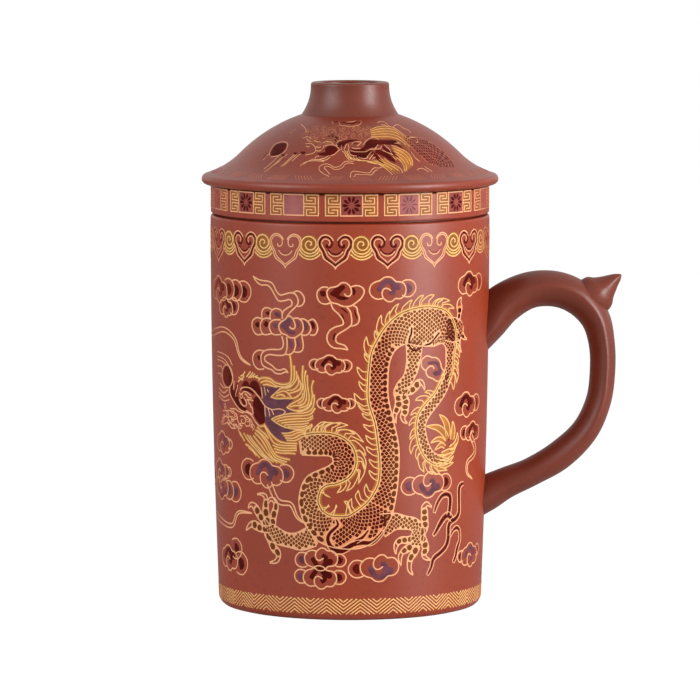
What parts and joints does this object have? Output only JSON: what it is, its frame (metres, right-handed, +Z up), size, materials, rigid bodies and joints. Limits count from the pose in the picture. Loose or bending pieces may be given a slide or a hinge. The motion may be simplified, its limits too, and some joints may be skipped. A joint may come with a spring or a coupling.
{
  "type": "lidded tea mug with infuser",
  "caption": "Straight-walled clay tea mug with a side handle and thumb rest, a perforated infuser that hangs in its mouth, and a domed lid with a hollow knob.",
  "frame": {"origin": "centre of the foot ring, on the plane that the mug stands on", "axes": "+Z up the mug's axis towards the lid's knob, +X out through the handle"},
  "size_m": [0.1145, 0.0808, 0.1429],
  "materials": {
    "clay": "unglazed red-brown stoneware, matt with a soft sheen",
    "inner_clay": "unglazed red-brown stoneware, matt, unpolished",
    "gold_line": "thin raised enamel in a golden yellow, satin",
    "maroon_fill": "thin enamel in dark maroon, satin",
    "purple_fill": "thin enamel in a dusty purple, satin"
  },
  "bodies": {
    "mug": {"mug_body": "clay", "handle": "clay", "thumb_rest": "clay"},
    "infuser": {"infuser_collar": "clay", "infuser_cup": "inner_clay", "infuser_strainer": "inner_clay"},
    "lid": {"lid_dome": "clay", "lid_flange": "inner_clay", "knob": "clay"}
  },
  "joints": [
    {"name": "infuser_lift", "type": "slide", "parent": "mug", "child": "infuser", "axis": [0, 0, 1], "range_m": [0, 0.07]},
    {"name": "lid_lift", "type": "slide", "parent": "infuser", "child": "lid", "axis": [0, 0, 1], "range_m": [0, 0.03]}
  ]
}
